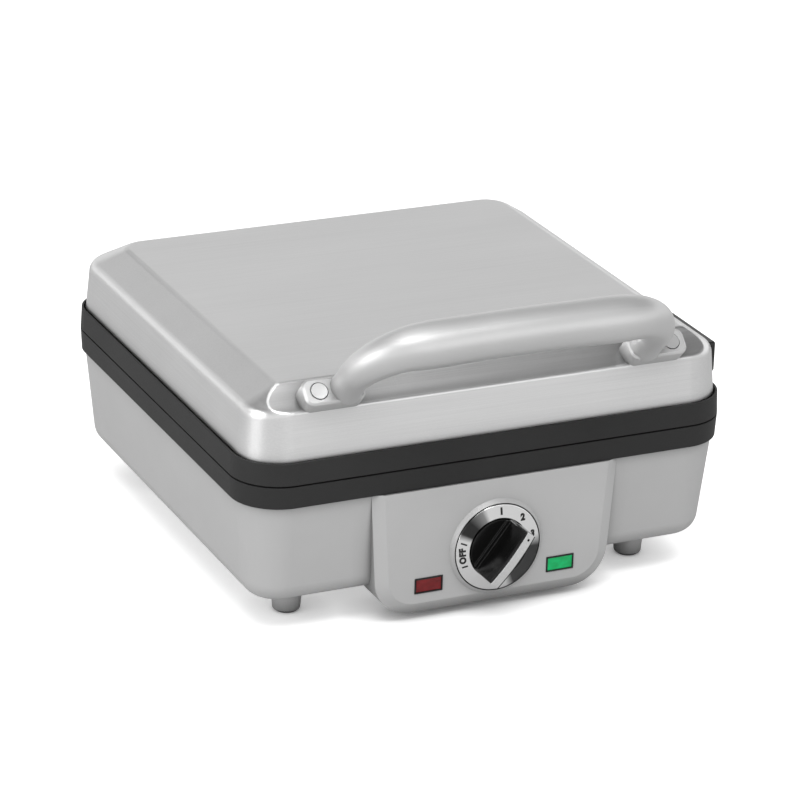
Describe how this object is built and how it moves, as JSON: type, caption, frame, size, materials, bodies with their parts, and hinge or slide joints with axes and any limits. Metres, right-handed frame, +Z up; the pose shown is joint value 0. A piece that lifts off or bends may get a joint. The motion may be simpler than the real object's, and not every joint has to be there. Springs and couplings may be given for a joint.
{
  "type": "belgian waffle maker with hinged lid",
  "caption": "Countertop Belgian waffle maker with a brushed steel lid, a round bar handle, a silver base with a control dial and two lights, and removable square waffle plates.",
  "frame": {"origin": "on the table, midway between the two sides and midway between the handle's front and the hinge's back", "axes": "+X to the right as seen from the front, the front faces -Y, +Z up"},
  "size_m": [0.3, 0.3529, 0.1909],
  "materials": {
    "silver_paint": "satin",
    "charcoal_plastic": "matte",
    "black_plastic": "satin",
    "knob_black": "gloss",
    "brushed_lid": "brushed",
    "handle_metal": "satin",
    "bright_steel": "satin",
    "chrome_ring": "polished",
    "red_lens": "gloss",
    "green_lens": "gloss",
    "lamp_glass": "gloss",
    "rubber": "matte",
    "plate_coating": "satin",
    "element_steel": "satin",
    "tray_aluminium": "satin",
    "thermostat_ceramic": "matte"
  },
  "bodies": {
    "base": {"lower_housing": "silver_paint", "feet": "silver_paint", "foot_screws": "bright_steel", "rubber_feet": "rubber", "housing_screws": "bright_steel", "lower_bezel": "charcoal_plastic", "control_pod": "silver_paint", "pod_screws": "bright_steel", "dial_ring": "chrome_ring", "lens_frames": "black_plastic", "red_lens": "red_lens", "green_lens": "green_lens", "indicator_lamps": "lamp_glass", "lamp_holders": "black_plastic", "thermostat_bracket": "element_steel", "thermostat": "thermostat_ceramic", "cord_gland": "black_plastic", "terminal_block": "black_plastic", "thermal_fuse": "lamp_glass", "lower_plate": "plate_coating", "lower_element": "element_steel", "lower_terminals": "bright_steel", "lower_clips": "element_steel", "lower_reflector": "tray_aluminium", "lower_tray_screws": "bright_steel", "lower_release_guide": "element_steel", "lower_release_springs": "bright_steel", "lower_release_frame": "black_plastic", "hinge_brackets": "black_plastic", "hinge_bracket_screws": "bright_steel", "hinge_pins": "bright_steel"},
    "knob": {"knob": "knob_black", "pointer_strip": "chrome_ring", "knob_shaft": "bright_steel"},
    "lower_release": {"lower_release_button": "black_plastic"},
    "upper_release": {"upper_release_button": "black_plastic"},
    "lid": {"upper_bezel": "charcoal_plastic", "lid_cover": "brushed_lid", "lid_posts": "brushed_lid", "lid_screws": "bright_steel", "handle": "handle_metal", "handle_screws": "bright_steel", "handle_nuts": "bright_steel", "upper_plate": "plate_coating", "upper_element": "element_steel", "upper_terminals": "bright_steel", "upper_clips": "element_steel", "upper_reflector": "tray_aluminium", "upper_tray_screws": "bright_steel", "upper_release_guide": "element_steel", "upper_release_springs": "bright_steel", "upper_release_frame": "black_plastic", "hinge_arms": "black_plastic", "hinge_arm_screws": "bright_steel"}
  },
  "joints": [
    {"name": "lid_hinge", "type": "hinge", "parent": "base", "child": "lid", "pos_m": [0, 0.1674, 0.094], "axis": [-1, 0, 0], "range_deg": [0, 105]},
    {"name": "knob_turn", "type": "hinge", "parent": "base", "child": "knob", "pos_m": [0, -0.138, 0.0396], "axis": [0, 1, 0], "range_deg": [-151, 150]},
    {"name": "lower_release", "type": "slide", "parent": "base", "child": "lower_release", "axis": [-1, 0, 0], "range_m": [0, 0.0035], "stiffness_N_per_m": 600, "springref_m": -0.002},
    {"name": "upper_release", "type": "slide", "parent": "lid", "child": "upper_release", "axis": [-1, 0, 0], "range_m": [0, 0.0035], "stiffness_N_per_m": 600, "springref_m": -0.002}
  ]
}
